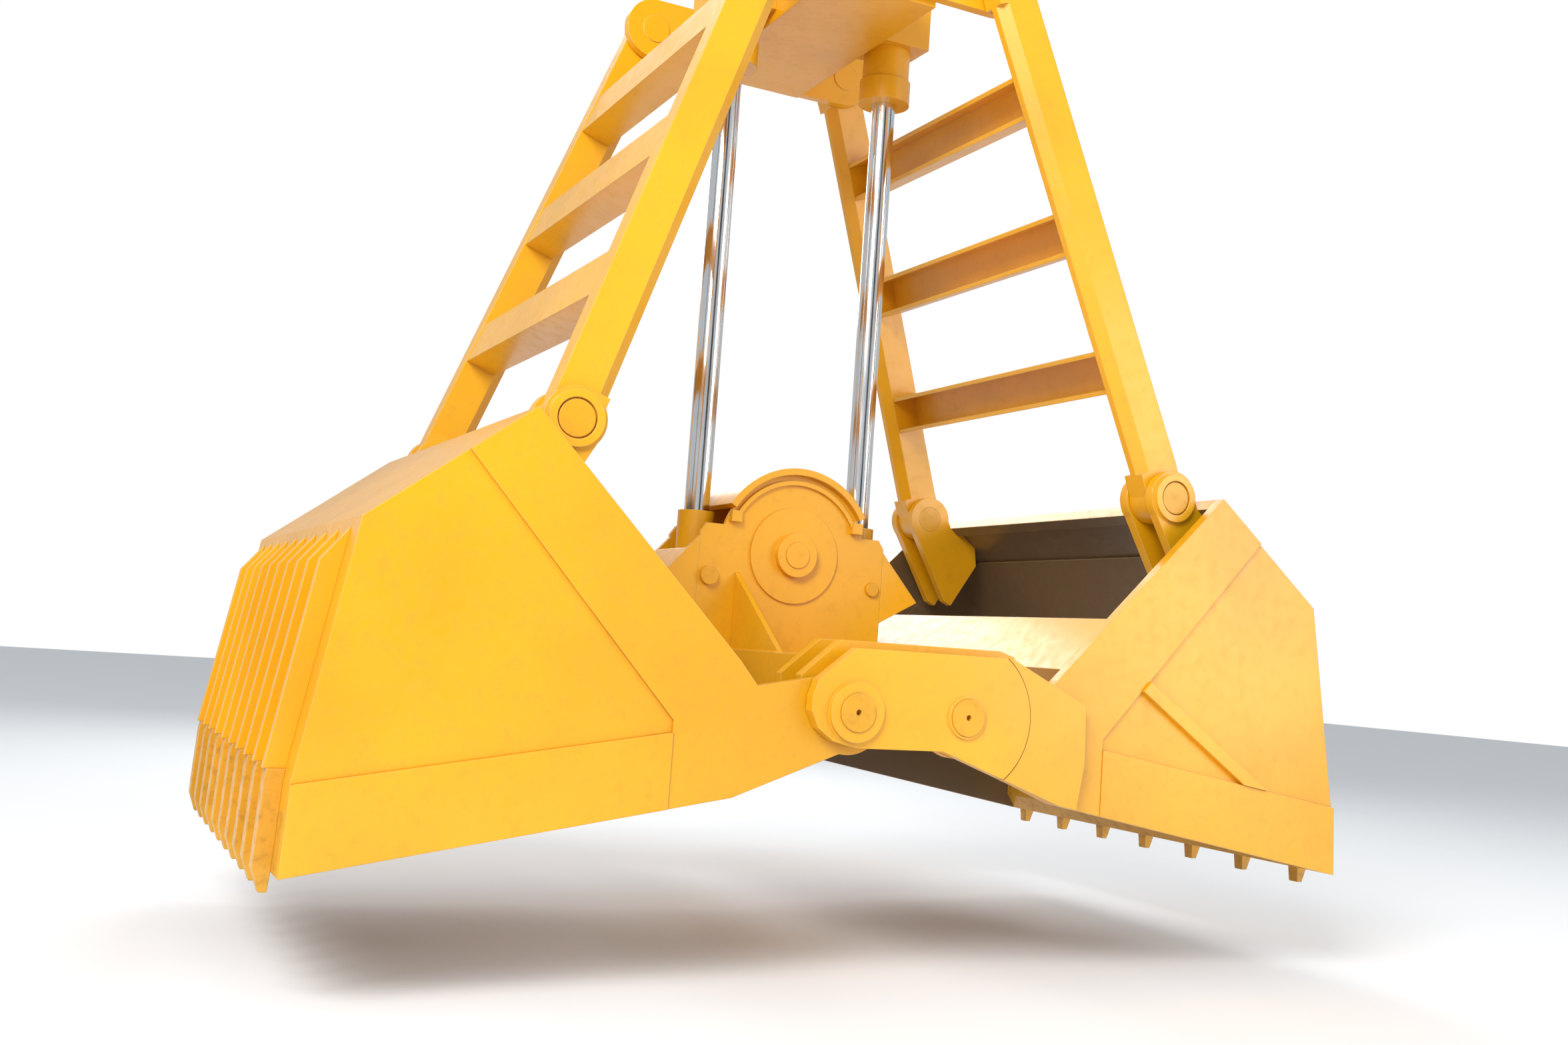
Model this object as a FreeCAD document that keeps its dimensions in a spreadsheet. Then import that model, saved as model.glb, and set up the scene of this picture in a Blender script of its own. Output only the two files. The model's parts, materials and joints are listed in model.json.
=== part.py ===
import FreeCAD, Part
import math
import os
import Sketcher

# Two-jaw clamshell bucket, fully open, hanging from the eye on its top yoke.
# +X is the direction in which the right jaw opens, +Y runs along the jaw width, +Z is up.
# Pieces are drawn with z = 0 at the jaw hinge pins. Each finished node is then lowered by
# eye_height, so that the model's origin is the centre of the suspension eye.
# The left jaw and left arm are the right ones turned half a turn about the vertical axis.

SIZES = {
    # jaw outline, open, right-hand side
    "jaw_width": 2000.0,
    "pin_x": 195.0,
    "front_top_x": 1222.0,
    "front_top_z": 790.0,
    "back_top_x": 1664.0,
    "back_top_z": 444.0,
    "heel_x": 1778.0,
    "heel_z": -254.0,
    "lip_x": 1786.0,
    "lip_z": -488.0,
    "mouth_low_x": 560.0,
    "mouth_low_z": 130.0,
    "strip_x": 1400.0,
    "seam_x": 754.0,
    "seam_top_z": -50.0,
    "band_top_z": -84.0,
    "knee_x": 560.0,
    "mate_gap": 4.0,
    "seat_gap": 0.3,
    # jaw plates
    "arm_plate_thick": 40.0,
    "side_sheet_thick": 30.0,
    "side_lip_thick": 44.0,
    "shell_thick": 25.0,
    "lip_plate_thick": 50.0,
    "lip_plate_high": 158.0,
    "lip_land": 14.0,
    "nose_wide": 50.0,
    "nose_deep": 45.0,
    "liner_thick": 12.0,
    "liner_start": 0.43,
    "liner_low_z": 150.0,
    "beam_face": 250.0,
    "beam_deep": 90.0,
    "beam_wall": 16.0,
    "beam_start": 54.0,
    "eye_round": 130.0,
    # ribs and teeth on the back of a jaw
    "rib_thick": 30.0,
    "rib_proud": 58.0,
    "rib_top_z": 420.0,
    "tooth_top_z": -225.0,
    "tooth_wide": 52.0,
    "tooth_tip_wide": 40.0,
    "tooth_proud": 48.0,
    "tooth_over": 52.0,
    "tooth_taper": 112.0,
    "left_teeth": 10,
    "left_tooth_pitch": 190.0,
    "right_teeth": 7,
    "right_tooth_pitch": 285.0,
    "right_tooth_shift": 47.5,
    # diagonal stiffener on one side of each jaw
    "brace_wide": 44.0,
    "brace_proud": 22.0,
    # hinge pins and plates of the lower crosshead
    "hinge_pin_round": 57.95,
    "running_gap": 0.05,
    "hinge_plate_thick": 42.0,
    "hinge_plate_gap": 3.0,
    "hinge_plate_top_z": 190.0,
    "hinge_plate_low_z": -106.0,
    "hinge_arc": 235.0,
    "doubler_gap": 4.0,
    "inner_plate_thick": 40.0,
    "inner_plate_gap": 5.0,
    "second_plate_y": 815.0,
    "second_plate_thick": 35.0,
    "big_boss_round": 90.0,
    "big_boss_proud": 14.0,
    "small_boss_round": 67.0,
    "small_boss_proud": 7.0,
    "pin_end_proud": 5.0,
    "grease_hole": 9.0,
    "grease_hole_deep": 22.0,
    # deck beam and housing
    "deck_half": 230.0,
    "deck_top_z": 158.0,
    "deck_low_z": -62.0,
    "deck_wall": 25.0,
    "web_half": 128.0,
    "cheek_half": 365.0,
    "cheek_face_y": 150.0,
    "cheek_thick": 20.0,
    "cheek_high": 560.0,
    "wheel_z": 505.0,
    "arch_round": 312.0,
    "arch_thick": 24.0,
    "arch_over": 28.0,
    "arch_half_turn": 59.0,
    "trim_round": 268.0,
    "trim_wide": 16.0,
    "trim_proud": 12.0,
    "trim_half_turn": 66.0,
    "cover_round": 172.0,
    "cover_proud": 8.0,
    "hub_round": 78.0,
    "hub_proud": 34.0,
    "axle_round": 46.0,
    "axle_proud": 4.0,
    "spacer_round": 66.0,
    "gusset_x": 224.0,
    "gusset_thick": 18.0,
    "gusset_long": 400.0,
    "gusset_high": 270.0,
    "guard_reach": 520.0,
    "guard_mid_z": 375.0,
    "guard_low_z": 290.0,
    "guard_top_z": 548.0,
    "guard_cover_thick": 14.0,
    "clamp_size": 40.0,
    # piston rods, their ends and their cylinders
    "rod_x": 325.0,
    "rod_round": 45.0,
    "rod_eye_z": 409.0,
    "rod_eye_half": 50.0,
    "rod_eye_thick": 90.0,
    "rod_seat_z": 490.0,
    "socket_round": 66.0,
    "socket_top_z": 640.0,
    "rod_pin_round": 25.0,
    "rod_pin_proud": 12.0,
    "bolt_head_round": 33.0,
    "bolt_head_high": 20.0,
    "gland_z": 2290.0,
    "gland_high": 90.0,
    "gland_round": 98.0,
    "bore_round": 72.0,
    "barrel_round": 90.0,
    "piston_thick": 90.0,
    "barrel_spare": 60.0,
    # arms
    "arm_pin_x": 1084.0,
    "arm_pin_z": 784.0,
    "arm_pin_round": 55.0,
    "head_pin_z": 2600.0,
    "arm_lean": 0.36,
    "arm_close_in": 0.1025,
    "leg_thick": 158.0,
    "leg_wide": 95.0,
    "leg_outer_y": 860.0,
    "leg_bevel": 34.0,
    "leg_eye_round": 84.0,
    "leg_weld_at": 108.0,
    "rung_first_z": 1235.0,
    "rung_pitch": 480.0,
    "rung_count": 3,
    "rung_high": 156.0,
    "rung_deep": 118.0,
    "rung_wall": 16.0,
    # lugs that hold the arm pins
    "lug_thick": 38.0,
    "lug_gap": 2.0,
    "lug_round": 95.0,
    "ring_round": 84.0,
    "ring_proud": 15.0,
    "ring_hole": 60.0,
    # head
    "head_half": 210.0,
    "head_high": 280.0,
    "head_wall": 25.0,
    "head_plate_thick": 40.0,
    "head_plate_gap": 8.0,
    "head_eye_round": 120.0,
    "head_pin_proud": 4.0,
    "clamp_half": 118.0,
    "clamp_high": 200.0,
    "mast_half": 100.0,
    "mast_wall": 16.0,
    "yoke_half": 440.0,
    "yoke_deep": 220.0,
    "yoke_high": 130.0,
    "eye_bore": 50.0,
    "eye_plate_thick": 80.0,
    "eye_plate_round": 125.0,
    "eye_above_yoke": 170.0,
}

doc = FreeCAD.newDocument("clamshell_bucket")
sheet = doc.addObject("Spreadsheet::Sheet", "Sizes")
for row, (alias, number) in enumerate(SIZES.items(), start=1):
    sheet.set(f"A{row}", alias)
    sheet.set(f"B{row}", str(number))
    sheet.setAlias(f"B{row}", alias)
doc.recompute()


class Size:
    """A number from the sheet together with the expression that gives it."""

    def __init__(self, number, text):
        self.number = float(number)
        self.text = text

    def __add__(self, other):
        other = as_size(other)
        return Size(self.number + other.number, f"({self.text} + {other.text})")

    def __radd__(self, other):
        return as_size(other) + self

    def __sub__(self, other):
        other = as_size(other)
        return Size(self.number - other.number, f"({self.text} - {other.text})")

    def __rsub__(self, other):
        return as_size(other) - self

    def __mul__(self, other):
        other = as_size(other)
        return Size(self.number * other.number, f"({self.text} * {other.text})")

    def __rmul__(self, other):
        return as_size(other) * self

    def __truediv__(self, other):
        other = as_size(other)
        return Size(self.number / other.number, f"({self.text} / {other.text})")

    def __neg__(self):
        return Size(-self.number, f"(0 - {self.text})")

    def __float__(self):
        return self.number


def as_size(value):
    """Turn a plain number into a Size, and leave a Size as it is."""
    if isinstance(value, Size):
        return value
    return Size(value, repr(round(float(value), 6)))


class Sheet:
    """Read the sheet's cells by name."""

    def __getattr__(self, alias):
        return Size(sheet.get(alias), f"Sizes.{alias}")


cell = Sheet()


def bind(item, name, value):
    """Set a property from a Size, and keep it bound to the sheet."""
    value = as_size(value)
    item.setExpression(name, value.text)


# ---------------------------------------------------------------- solids

TO_FRONT = FreeCAD.Rotation(FreeCAD.Vector(1, 0, 0), 90)
TO_RIGHT = FreeCAD.Rotation(FreeCAD.Vector(0, 1, 0), 90)


def place(item, x, y, z, turn=FreeCAD.Rotation()):
    """Give an object its turn and a bound position."""
    item.Placement = FreeCAD.Placement(FreeCAD.Vector(float(x), float(y), float(z)), turn)
    bind(item, "Placement.Base.x", x)
    bind(item, "Placement.Base.y", y)
    bind(item, "Placement.Base.z", z)
    return item


def outline(name, points):
    """Draw a closed outline of straight lines in the XZ plane, each corner bound to its sizes."""
    sketch = doc.addObject("Sketcher::SketchObject", name)
    corners = [FreeCAD.Vector(float(x), float(z), 0) for x, z in points]
    count = len(corners)
    for index in range(count):
        sketch.addGeometry(Part.LineSegment(corners[index], corners[(index + 1) % count]), False)
    for index in range(count):
        sketch.addConstraint(Sketcher.Constraint("Coincident", index, 2, (index + 1) % count, 1))
    for index, corner in enumerate(points):
        for value, kind, axis in zip(corner, ("DistanceX", "DistanceY"), (-2, -1)):
            if abs(float(value)) < 1e-6:
                sketch.addConstraint(Sketcher.Constraint("PointOnObject", index, 1, axis))
                continue
            number = sketch.addConstraint(
                Sketcher.Constraint(kind, -1, 1, index, 1, float(value)))
            if isinstance(value, Size):
                sketch.setExpression(f"Constraints[{number}]", value.text)
    sketch.Placement = FreeCAD.Placement(FreeCAD.Vector(), TO_FRONT)
    return sketch


def prism(name, points, back, thick):
    """Plate with an XZ outline, from y = back towards the front by its thickness."""
    item = doc.addObject("Part::Extrusion", name)
    item.Base = outline(f"{name}_outline", points)
    item.DirMode = "Normal"
    item.Solid = True
    bind(item, "LengthFwd", thick)
    return place(item, 0, back, 0)


def disc(name, x, z, radius, back, thick):
    """Round piece with its axis along Y, from y = back towards the front."""
    item = doc.addObject("Part::Cylinder", name)
    bind(item, "Radius", radius)
    bind(item, "Height", thick)
    return place(item, x, back, z, TO_FRONT)


def post(name, x, y, radius, low, high):
    """Round piece with its axis along Z."""
    item = doc.addObject("Part::Cylinder", name)
    bind(item, "Radius", radius)
    bind(item, "Height", high - low)
    return place(item, x, y, low)


def block(name, x_span, y_span, z_span):
    """Box between two values on each axis."""
    item = doc.addObject("Part::Box", name)
    bind(item, "Length", x_span[1] - x_span[0])
    bind(item, "Width", y_span[1] - y_span[0])
    bind(item, "Height", z_span[1] - z_span[0])
    return place(item, x_span[0], y_span[0], z_span[0])


def fuse(name, pieces):
    """Join pieces that are welded or cast as one."""
    item = doc.addObject("Part::MultiFuse", name)
    item.Shapes = pieces
    item.Refine = True
    return item


def cut(name, base, tools):
    """Cut the tools out of the base."""
    item = doc.addObject("Part::Cut", name)
    item.Base = base
    item.Tool = tools[0] if len(tools) == 1 else fuse(f"{name}_tools", tools)
    return item


def common(name, first, second):
    """Keep what two pieces share."""
    item = doc.addObject("Part::Common", name)
    item.Base = first
    item.Tool = second
    return item


def mirror_far(name, source):
    """The same piece on the far side, seen in the XZ plane as in a mirror."""
    item = doc.addObject("Part::Mirroring", name)
    item.Source = source
    item.Normal = FreeCAD.Vector(0, 1, 0)
    return item


def turned(name, source):
    """The same piece turned half a turn about the vertical axis."""
    item = doc.addObject("Part::Compound", name)
    item.Links = [source]
    item.Placement = FreeCAD.Placement(FreeCAD.Vector(), HALF_TURN)
    return item


def both_ends(name, source):
    """A near piece and its mirrored far twin."""
    return [source, mirror_far(f"{name}_far", source)]


HALF_TURN = FreeCAD.Rotation(FreeCAD.Vector(0, 0, 1), 180)
nodes = []


def node(label, pieces, half_turn=False):
    """Finish a named node: group its solids, turn it if it is a left one, and lower it."""
    item = doc.addObject("Part::Compound", label)
    item.Label = label
    item.Links = pieces
    turn = HALF_TURN if half_turn else FreeCAD.Rotation()
    place(item, 0, 0, -eye_height, turn)
    nodes.append(item)
    return item


def fixed_shape(name, shape):
    """Piece whose shape comes from Part's own functions and the sheet's numbers."""
    item = doc.addObject("Part::Feature", name)
    item.Shape = shape
    return item


# ---------------------------------------------------------------- worked-out sizes

half_width = cell.jaw_width / 2
inner_face = half_width - cell.arm_plate_thick
pin_hole = cell.hinge_pin_round + cell.running_gap

# A jaw turns about its hinge pin until its lip reaches the middle plane.
lip_reach = math.hypot(float(cell.lip_x - cell.pin_x), float(cell.lip_z))
open_angle = math.atan2(float(cell.lip_z), float(cell.lip_x - cell.pin_x))
closed_angle = -math.acos((float(cell.mate_gap) / 2 - float(cell.pin_x)) / lip_reach)
closing_turn = open_angle - closed_angle


def mate_z(x):
    """Height of the mating edge above x: the line that stands in the middle plane when closed."""
    return float(cell.lip_z) + (float(cell.lip_x) - float(x)) / math.tan(closing_turn)


def between(first, second, share):
    """Point on the line between two corners."""
    return tuple(float(a) + (float(b) - float(a)) * share for a, b in zip(first, second))


front_top = (cell.front_top_x, cell.front_top_z)
back_top = (cell.back_top_x, cell.back_top_z)
heel = (cell.heel_x, cell.heel_z)
lip = (cell.lip_x, cell.lip_z)
mouth_low = (cell.mouth_low_x, cell.mouth_low_z)
arm_pin = (cell.arm_pin_x, cell.arm_pin_z)

strip_share = float((cell.strip_x - cell.front_top_x) / (cell.back_top_x - cell.front_top_x))
strip_top = between(front_top, back_top, strip_share)
strip_low = (cell.seam_x, cell.seam_top_z)
seam_low = (cell.seam_x, mate_z(cell.seam_x))
band_corner = (cell.seam_x, cell.band_top_z)
knee = (cell.knee_x, mate_z(cell.knee_x))

# The head pin lies on the arm's centre line, and the stroke brings the closed arm back to it.
head_pin_x = cell.arm_pin_x - cell.arm_lean * (cell.head_pin_z - cell.arm_pin_z)
arm_length = math.hypot(float(cell.arm_pin_x - head_pin_x),
                        float(cell.head_pin_z - cell.arm_pin_z))
crank = math.hypot(float(cell.arm_pin_x - cell.pin_x), float(cell.arm_pin_z))
crank_closed = math.atan2(float(cell.arm_pin_z), float(cell.arm_pin_x - cell.pin_x)) - closing_turn
closed_pin_x = float(cell.pin_x) + crank * math.cos(crank_closed)
closed_pin_z = crank * math.sin(crank_closed)
closed_rise = math.sqrt(arm_length ** 2 - (closed_pin_x - float(head_pin_x)) ** 2)
stroke = float(cell.head_pin_z) - closed_pin_z - closed_rise

barrel_low = cell.gland_z + cell.gland_high
piston_low = barrel_low + cell.barrel_spare / 2
rod_top = piston_low + cell.piston_thick
barrel_top = rod_top + stroke + cell.barrel_spare
yoke_top = barrel_top + cell.yoke_high
eye_height = yoke_top + cell.eye_above_yoke
leg_inner_y = cell.leg_outer_y - cell.leg_wide


def offset_line(first, second, distance):
    """Two corners moved sideways, to the right of the way from first to second."""
    x0, z0, x1, z1 = (float(v) for v in (*first, *second))
    long = math.hypot(x1 - x0, z1 - z0)
    side = ((z1 - z0) / long * distance, -(x1 - x0) / long * distance)
    return (x0 + side[0], z0 + side[1]), (x1 + side[0], z1 + side[1])


def meet(line_a, line_b):
    """Point where two lines meet, each given by two corners."""
    (x1, z1), (x2, z2) = line_a
    (x3, z3), (x4, z4) = line_b
    spread = (x1 - x2) * (z3 - z4) - (z1 - z2) * (x3 - x4)
    a = x1 * z2 - z1 * x2
    b = x3 * z4 - z3 * x4
    return (a * (x3 - x4) - (x1 - x2) * b) / spread, (a * (z3 - z4) - (z1 - z2) * b) / spread


def offset_path(points, distance):
    """An open path moved sideways, with its corners mitred."""
    sides = [offset_line(points[i], points[i + 1], distance) for i in range(len(points) - 1)]
    inner = [meet(sides[i], sides[i + 1]) for i in range(len(sides) - 1)]
    return [sides[0][0]] + inner + [sides[-1][1]]


# ---------------------------------------------------------------- jaws

lip_share = float(cell.lip_plate_high) / float(cell.heel_z - cell.lip_z)
lip_plate_top = between(lip, heel, lip_share)


def jaw_arm_plates(side):
    """Thick side plates that run from the arm lugs down to the hinge eyes."""
    name = f"{side}_arm_plate"
    eye_edge = cell.eye_round - 12
    body = prism(f"{name}_body", [
        front_top,
        strip_top,
        strip_low,
        seam_low,
        knee,
        (cell.pin_x, -eye_edge),
        (cell.pin_x, eye_edge),
        (cell.mouth_low_x - 60, cell.mouth_low_z - 70),
        mouth_low,
    ], -inner_face, cell.arm_plate_thick)
    eye = disc(f"{name}_eye", cell.pin_x, 0, cell.eye_round, -inner_face, cell.arm_plate_thick)
    hole = disc(f"{name}_hole", cell.pin_x, 0, pin_hole, -inner_face + 1, cell.arm_plate_thick + 2)
    return both_ends(name, cut(name, fuse(f"{name}_blank", [body, eye]), [hole]))


def jaw_side_sheets(side):
    """Side sheets that close the jaw between the arm plates, the back and the side lips."""
    name = f"{side}_side_sheet"
    sheet_plate = prism(name, [strip_top, back_top, heel, band_corner, strip_low],
                        -inner_face, cell.side_sheet_thick)
    return both_ends(name, sheet_plate)


def jaw_side_lips(side):
    """Wear bands along the mating edges of the sides."""
    name = f"{side}_side_lip"
    band = prism(name, [heel, lip, seam_low, band_corner], -inner_face, cell.side_lip_thick)
    return both_ends(name, band)


def jaw_shell(side):
    """Folded top and back plate with a square nose bar along its front edge."""
    name = f"{side}_shell"
    outer = [front_top, back_top, heel, lip_plate_top]
    inner = offset_path(outer, float(cell.shell_thick))
    folded = prism(f"{name}_plate", outer + inner[::-1], inner_face, inner_face * 2)
    along = between(front_top, back_top, float(cell.nose_wide) / math.dist(
        [float(v) for v in front_top], [float(v) for v in back_top]))
    nose = prism(f"{name}_nose", [front_top, along,
                                  *offset_line(front_top, along, float(cell.nose_deep))[::-1]],
                 inner_face, inner_face * 2)
    return fuse(name, [folded, nose])


def jaw_liner(side):
    """Wear plate that cuts the corner between the top plate and the back plate."""
    outer = offset_path([front_top, back_top, heel, lip_plate_top],
                        float(cell.shell_thick + cell.seat_gap))
    start = between(outer[0], outer[1], float(cell.liner_start))
    drop = (float(cell.liner_low_z) - outer[1][1]) / (outer[2][1] - outer[1][1])
    end = between(outer[1], outer[2], drop)
    low, high = offset_line(end, start, -float(cell.liner_thick))
    return prism(f"{side}_liner", [start, end, low, high], inner_face, inner_face * 2)


def jaw_lip(side):
    """Cutting lip along the bottom of the back plate, bevelled on its inner face."""
    thick = float(cell.lip_plate_thick)
    inner_top, inner_low = offset_line(lip_plate_top, lip, thick)
    bevel = between(inner_low, inner_top, 0.4)
    land_x = float(cell.lip_x - cell.lip_land)
    return prism(f"{side}_lip", [lip_plate_top, lip, (land_x, mate_z(land_x)), bevel,
                                 inner_top], inner_face, inner_face * 2)


def jaw_cross_beam(side):
    """Box beam that ties the two sides along the lower end of the top opening."""
    name = f"{side}_cross_beam"
    long = math.dist([float(v) for v in mouth_low], [float(v) for v in front_top])
    start = between(mouth_low, front_top, float(cell.beam_start) / long)
    end = between(mouth_low, front_top, float(cell.beam_start + cell.beam_face) / long)
    deep_a, deep_b = offset_line(start, end, float(cell.beam_deep))
    body = prism(f"{name}_body", [start, end, deep_b, deep_a], inner_face, inner_face * 2)
    wall = float(cell.beam_wall)
    in_a, in_b = offset_line(start, end, wall)
    out_a, out_b = offset_line(start, end, float(cell.beam_deep) - wall)
    trim = wall / float(cell.beam_face)
    hollow = prism(f"{name}_hollow", [between(in_a, in_b, trim), between(in_b, in_a, trim),
                                      between(out_b, out_a, trim), between(out_a, out_b, trim)],
                   inner_face + 1, inner_face * 2 + 2)
    return cut(name, body, [hollow])


def back_surface_x(z):
    """How far out the back plate is at a height."""
    share = (float(z) - float(cell.back_top_z)) / float(cell.heel_z - cell.back_top_z)
    return float(cell.back_top_x) + share * float(cell.heel_x - cell.back_top_x)


def row_of(name, piece, places):
    """Equal pieces in a row along Y, at the given places."""
    doc.recompute()
    copies = []
    for y in places:
        copy = piece.Shape.copy()
        copy.translate(FreeCAD.Vector(0, y, 0))
        copies.append(copy)
    return fixed_shape(name, Part.makeCompound(copies))


def tooth_places(side):
    """Where the teeth stand along the lip: the two jaws' teeth pass between each other."""
    if side == "right":
        count, pitch, shift = cell.right_teeth, cell.right_tooth_pitch, cell.right_tooth_shift
    else:
        count, pitch, shift = cell.left_teeth, cell.left_tooth_pitch, as_size(0)
    first = -(float(count) - 1) / 2 * float(pitch) + float(shift)
    return [first + index * float(pitch) for index in range(int(float(count)))]


def jaw_ribs(side, places):
    """Upright ribs on the back plate, one above each tooth, with sloped top ends."""
    name = f"{side}_rib"
    top_z = float(cell.rib_top_z)
    low_z = float(cell.tooth_top_z)
    proud = float(cell.rib_proud)
    slope_z = top_z - 1.6 * proud
    rib = prism(name, [
        (back_surface_x(top_z), top_z),
        (back_surface_x(slope_z) + proud, slope_z),
        (back_surface_x(low_z) + proud, low_z),
        (back_surface_x(low_z), low_z),
    ], cell.rib_thick / 2, cell.rib_thick)
    return row_of(f"{name}_row", rib, places)


def jaw_teeth(side, places):
    """Tooth bars over the lip, tapered to a narrow blunt tip."""
    name = f"{side}_tooth"
    low_z = float(cell.tooth_top_z)
    proud = float(cell.tooth_proud)
    tip_z = float(cell.lip_z - cell.tooth_over)
    tip_x = float(cell.lip_x) + 4
    bar = prism(f"{name}_bar", [
        (back_surface_x(low_z), low_z),
        heel,
        lip,
        (tip_x, tip_z),
        (tip_x + proud * 0.45, tip_z),
        (float(cell.lip_x) + proud, tip_z + proud * 1.3),
        (float(cell.heel_x) + proud, cell.heel_z),
        (back_surface_x(low_z) + proud, low_z),
    ], cell.tooth_wide / 2, cell.tooth_wide)
    half, half_tip = float(cell.tooth_wide) / 2, float(cell.tooth_tip_wide) / 2
    start_z = tip_z + float(cell.tooth_taper)
    face = Part.Face(Part.makePolygon([FreeCAD.Vector(float(cell.heel_x) - 60, y, z) for y, z in (
        (-half, low_z + 1), (-half, start_z), (-half_tip, tip_z - 1), (half_tip, tip_z - 1),
        (half, start_z), (half, low_z + 1), (-half, low_z + 1))]))
    taper = fixed_shape(f"{name}_taper", face.extrude(FreeCAD.Vector(60 + 3 * proud, 0, 0)))
    return row_of(f"{name}_row", common(name, bar, taper), places)


def jaw_lugs(side):
    """Two lug plates for each arm eye, with a raised ring around the pin on the outer one."""
    name = f"{side}_lug"
    pin_x, pin_z = arm_pin
    seat = float(cell.seat_gap)
    nose_share = (float(cell.nose_wide) + seat) / math.dist(
        [float(v) for v in front_top], [float(v) for v in back_top])
    nose_back = between(front_top, back_top, nose_share)
    under = offset_line(front_top, back_top, float(cell.shell_thick) + seat)
    nose_low = offset_line(front_top, nose_back, float(cell.nose_deep) + seat)
    kite = [
        (pin_x - 78, pin_z - 50),
        (pin_x + 98, pin_z - 354),
        (pin_x + 132, pin_z - 370),
        (pin_x + 252, pin_z - 186),
        between(under[0], under[1], 0.27),
        between(under[0], under[1], nose_share),
        nose_low[1],
        nose_low[0],
        (pin_x + 60, pin_z + 60),
    ]
    plates = []
    outer_back = -cell.leg_outer_y - cell.lug_gap
    inner_back = -leg_inner_y + cell.lug_gap + cell.lug_thick
    for part, back in (("outer", outer_back), ("inner", inner_back)):
        label = f"{name}_{part}"
        body = prism(f"{label}_kite", kite, back, cell.lug_thick)
        top = disc(f"{label}_round", pin_x, pin_z, cell.lug_round, back, cell.lug_thick)
        pieces = [body, top]
        tools = [disc(f"{label}_hole", pin_x, pin_z, cell.arm_pin_round + cell.running_gap,
                      back + 1, cell.lug_thick + 2)]
        if part == "outer":
            face = back - cell.lug_thick
            pieces.append(disc(f"{label}_ring", pin_x, pin_z, cell.ring_round, face,
                               cell.ring_proud))
            tools.append(disc(f"{label}_recess", pin_x, pin_z, cell.ring_hole, face,
                              cell.ring_proud + 1))
        plates += both_ends(label, cut(label, fuse(f"{label}_blank", pieces), tools))
    return plates


def jaw_arm_pins(side):
    """Pins that join the arm eyes to the lugs."""
    name = f"{side}_arm_pin"
    back = -leg_inner_y + cell.lug_gap + cell.lug_thick
    front = cell.leg_outer_y + cell.lug_gap + cell.lug_thick + cell.ring_proud - 4
    pin = disc(name, *arm_pin, cell.arm_pin_round, back, front + back)
    return both_ends(name, pin)


def jaw_doubler(side):
    """Outer doubler on one side: it fills out the crosshead's hinge plate across a round gap."""
    name = f"{side}_doubler"
    slope = float(knee[1] - cell.hinge_plate_low_z) / float(cell.knee_x - 117)
    start_z = float(cell.hinge_plate_low_z) + slope * float(cell.pin_x - 117)
    body = prism(f"{name}_body", [
        (cell.pin_x, cell.hinge_plate_top_z),
        (356, cell.hinge_plate_top_z),
        (648, 55),
        (653, -127),
        (628, mate_z(628)),
        knee,
        (cell.pin_x, start_z),
    ], -half_width, cell.hinge_plate_thick)
    arc = disc(f"{name}_arc", cell.pin_x, 0, cell.hinge_arc + cell.doubler_gap, -half_width + 1,
               cell.hinge_plate_thick + 2)
    return [cut(name, body, [arc])]


def jaw_brace(side):
    """Diagonal flat bar on the same side sheet, from the arm plate to the side lip."""
    seat = float(cell.seat_gap)
    strip_edge = offset_line(strip_top, strip_low, -seat)
    band_edge = offset_line(heel, band_corner, seat)
    start = between(strip_low, strip_top, 0.28)
    end = between(heel, band_corner, 0.31)
    upper = (start, end)
    lower = offset_line(start, end, float(cell.brace_wide))
    face = half_width - cell.arm_plate_thick + cell.side_sheet_thick
    corners = [meet(upper, strip_edge), meet(upper, band_edge), meet(lower, band_edge),
               meet(lower, strip_edge)]
    return [prism(f"{side}_brace", corners, -face, cell.brace_proud)]


def make_jaw(side):
    """All pieces of one jaw."""
    left = side == "left"
    places = tooth_places(side)
    if left:
        places = [-y for y in places]
    node(f"{side}_jaw_arm_plates", jaw_arm_plates(side), left)
    node(f"{side}_jaw_side_sheets", jaw_side_sheets(side), left)
    node(f"{side}_jaw_side_lips", jaw_side_lips(side), left)
    node(f"{side}_jaw_shell", [jaw_shell(side)], left)
    node(f"{side}_jaw_liner", [jaw_liner(side)], left)
    node(f"{side}_jaw_lip", [jaw_lip(side)], left)
    node(f"{side}_jaw_cross_beam", [jaw_cross_beam(side)], left)
    node(f"{side}_jaw_ribs", [jaw_ribs(side, places)], left)
    node(f"{side}_jaw_teeth", [jaw_teeth(side, places)], left)
    node(f"{side}_jaw_lugs", jaw_lugs(side), left)
    node(f"{side}_arm_pins", jaw_arm_pins(side), left)
    node(f"{side}_jaw_doubler", jaw_doubler(side) + jaw_brace(side), left)


# ---------------------------------------------------------------- arms

lean_turn = math.atan(float(cell.arm_lean))
leg_across = FreeCAD.Vector(math.cos(lean_turn), 0, math.sin(lean_turn))
leg_up = FreeCAD.Vector(-math.sin(lean_turn), 0, math.cos(lean_turn))
pin_point = FreeCAD.Vector(float(cell.arm_pin_x), 0, float(cell.arm_pin_z))
leg_top_at = arm_length - float(cell.leg_weld_at)
close_in = float(cell.arm_close_in) * math.cos(lean_turn)


def leg_point(across, along, y):
    """Point of an arm: across its depth, along its length from the lower pin, and in Y."""
    return pin_point + leg_across * across + leg_up * along + FreeCAD.Vector(0, y, 0)


def slanted(name, corners, way):
    """Prism over a flat outline, pushed along a slanted way."""
    ring = corners + [corners[0]]
    return fixed_shape(name, Part.Face(Part.makePolygon(ring)).extrude(way))


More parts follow.
